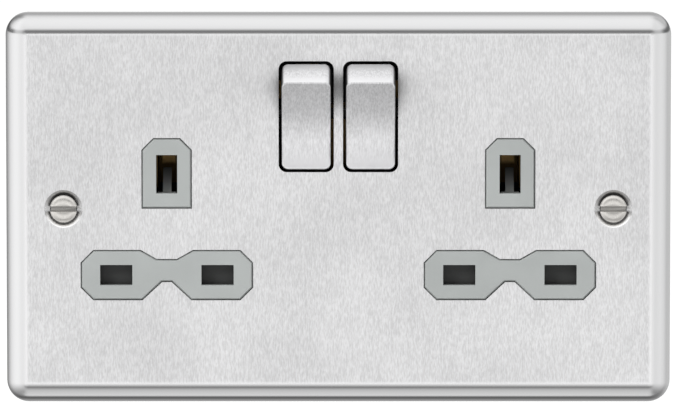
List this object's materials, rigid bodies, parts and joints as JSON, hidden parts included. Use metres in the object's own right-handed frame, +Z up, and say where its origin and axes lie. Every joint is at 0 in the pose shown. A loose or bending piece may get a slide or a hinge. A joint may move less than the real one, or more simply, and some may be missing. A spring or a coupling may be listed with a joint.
{
  "type": "twin wall socket",
  "caption": "Flush wall plate with two switched outlets for three flat pins, rockers above the middle, sliding guards and rear wire terminals.",
  "frame": {"origin": "middle of the plate in the plane of the wall, halfway between the two fixing screws", "axes": "+X to the right seen from the front, +Y into the wall along the fixing screws, +Z up"},
  "size_m": [0.146, 0.0312, 0.086],
  "materials": {
    "plate_metal": "vertical brushed grain, polished rim",
    "screw_metal": "bright plated",
    "grey_plastic": "satin",
    "black_plastic": "satin",
    "shutter_plastic": "satin",
    "brass": "rolled strip",
    "silver": "contact silver",
    "plated_steel": "zinc plated"
  },
  "bodies": {
    "socket": {"faceplate": "plate_metal", "plate_bosses": "plated_steel", "fixing_screw_left": "screw_metal", "fixing_screw_right": "screw_metal", "insert_left": "grey_plastic", "insert_right": "grey_plastic", "front_housing": "black_plastic", "rear_housing": "black_plastic", "fixed_tip_left": "silver", "fixed_tip_right": "silver", "line_feed": "brass", "line_clip_left": "brass", "line_clip_right": "brass", "neutral_clip_left": "brass", "neutral_clip_right": "brass", "line_strip_left": "brass", "line_strip_right": "brass", "neutral_bar": "brass", "earth_clip_left": "brass", "earth_clip_right": "brass", "earth_bar": "brass", "terminal_line": "brass", "terminal_neutral": "brass", "terminal_earth_left": "brass", "terminal_earth_right": "brass", "terminal_screws": "plated_steel", "assembly_screws": "plated_steel", "bonding_screws": "plated_steel", "shutter_spring_left": "plated_steel", "shutter_spring_right": "plated_steel"},
    "rocker_left": {"rocker_cap_left": "plate_metal", "rocker_body_left": "black_plastic", "rocker_spring_left": "plated_steel"},
    "plunger_left": {"rocker_plunger_left": "black_plastic"},
    "contact_left": {"moving_contact_left": "brass", "moving_tip_left": "silver"},
    "shutter_left": {"shutter_left": "shutter_plastic"},
    "rocker_right": {"rocker_cap_right": "plate_metal", "rocker_body_right": "black_plastic", "rocker_spring_right": "plated_steel"},
    "plunger_right": {"rocker_plunger_right": "black_plastic"},
    "contact_right": {"moving_contact_right": "brass", "moving_tip_right": "silver"},
    "shutter_right": {"shutter_right": "shutter_plastic"}
  },
  "joints": [
    {"name": "rocker_left_rock", "type": "hinge", "parent": "socket", "child": "rocker_left", "pos_m": [-0.00705, 0.00355, 0.02033], "axis": [1, 0, 0], "range_deg": [-20, 0]},
    {"name": "plunger_left_press", "type": "slide", "parent": "rocker_left", "child": "plunger_left", "axis": [0, -0.9848, -0.1736], "range_m": [0, 0.0008], "stiffness_N_per_m": 300, "springref_m": -0.003, "deforming": ["rocker_spring_left"]},
    {"name": "contact_left_rock", "type": "hinge", "parent": "socket", "child": "contact_left", "pos_m": [-0.00705, 0.01455, 0.02033], "axis": [1, 0, 0], "range_deg": [0, 20]},
    {"name": "shutter_left_slide", "type": "slide", "parent": "socket", "child": "shutter_left", "axis": [0, 0, -1], "range_m": [0, 0.005], "stiffness_N_per_m": 120, "springref_m": -0.006, "deforming": ["shutter_spring_left"]},
    {"name": "rocker_right_rock", "type": "hinge", "parent": "socket", "child": "rocker_right", "pos_m": [0.00705, 0.00355, 0.02033], "axis": [1, 0, 0], "range_deg": [-20, 0]},
    {"name": "plunger_right_press", "type": "slide", "parent": "rocker_right", "child": "plunger_right", "axis": [0, -0.9848, -0.1736], "range_m": [0, 0.0008], "stiffness_N_per_m": 300, "springref_m": -0.003, "deforming": ["rocker_spring_right"]},
    {"name": "contact_right_rock", "type": "hinge", "parent": "socket", "child": "contact_right", "pos_m": [0.00705, 0.01455, 0.02033], "axis": [1, 0, 0], "range_deg": [0, 20]},
    {"name": "shutter_right_slide", "type": "slide", "parent": "socket", "child": "shutter_right", "axis": [0, 0, -1], "range_m": [0, 0.005], "stiffness_N_per_m": 120, "springref_m": -0.006, "deforming": ["shutter_spring_right"]}
  ],
  "couplings": [
    {"joint": "contact_left_rock", "follows": "rocker_left_rock", "ratio": -1},
    {"joint": "contact_right_rock", "follows": "rocker_right_rock", "ratio": -1}
  ]
}
